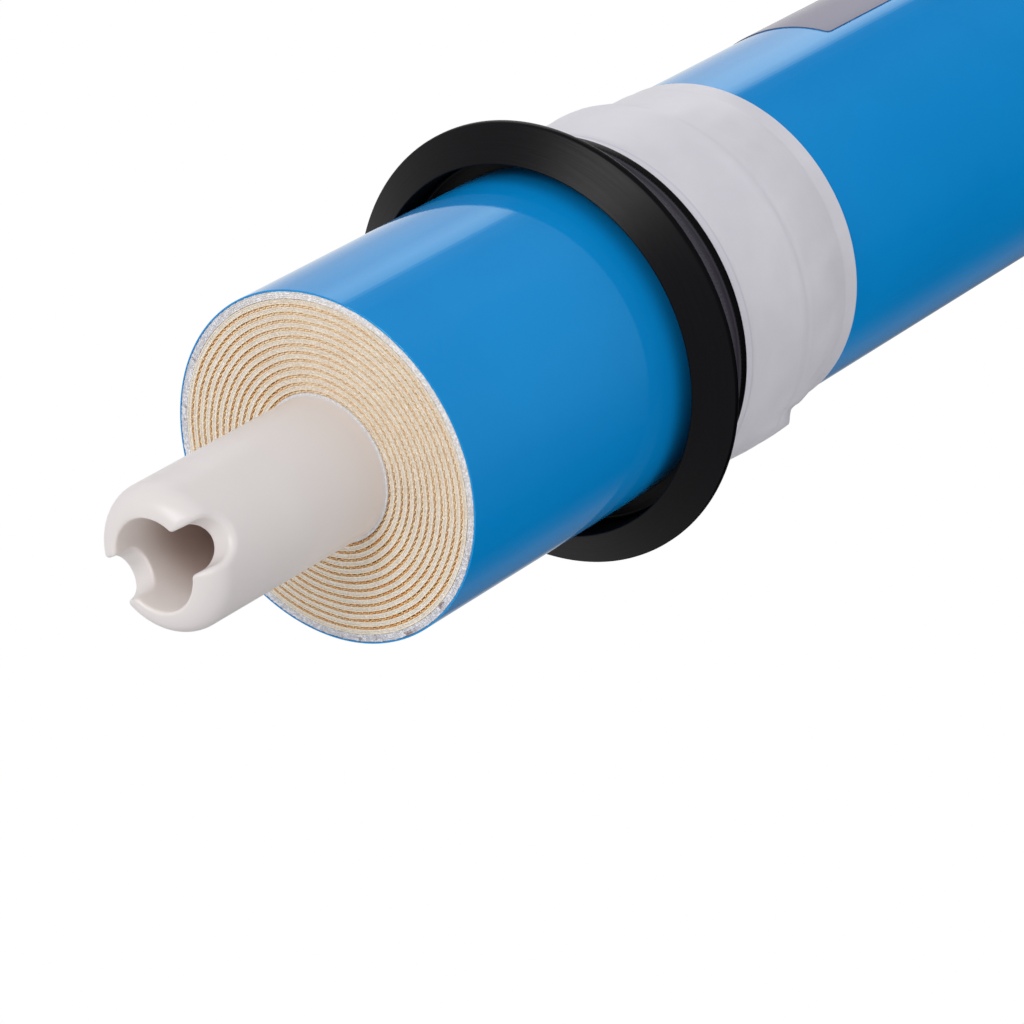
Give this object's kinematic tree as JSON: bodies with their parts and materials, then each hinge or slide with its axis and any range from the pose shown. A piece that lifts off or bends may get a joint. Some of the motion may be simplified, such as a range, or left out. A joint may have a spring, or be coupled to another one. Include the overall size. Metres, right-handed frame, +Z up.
{
  "type": "reverse osmosis membrane element",
  "caption": "Spiral-wound reverse osmosis membrane element: wound leaf on a notched permeate tube, brine seal, film wrap and a product spigot with seal rings.",
  "frame": {"origin": "on the permeate tube's axis, at the rim of the product spigot that the part stands on", "axes": "+Z up the permeate tube from the product end to the notched feed end; the two nose notches face -Y and +Y"},
  "size_m": [0.054, 0.054, 0.298],
  "materials": {
    "tube_plastic": "warm white moulded plastic, satin",
    "o_ring_rubber": "black rubber, satin",
    "carrier_cloth": "white knitted cloth, cut edge",
    "spacer_net": "tan plastic net, cut strands",
    "leaf_sheet": "cream membrane sheet, cut edge",
    "wrap_cloth": "grey-white cloth set in glue, cut edge",
    "blue_film": "glossy blue film",
    "seal_rubber": "black rubber, satin, fine turned grain",
    "white_tape": "white film tape, satin",
    "label_film": "plain grey-lilac label, glossy"
  },
  "bodies": {
    "root": {"permeate_tube": "tube_plastic", "o_ring_outer": "o_ring_rubber", "o_ring_inner": "o_ring_rubber", "permeate_carrier": "carrier_cloth", "feed_spacer": "spacer_net", "membrane_leaf": "leaf_sheet", "fabric_wrap": "wrap_cloth", "outer_tape": "blue_film", "brine_seal": "seal_rubber", "seal_tape": "white_tape", "label": "label_film"}
  },
  "joints": []
}
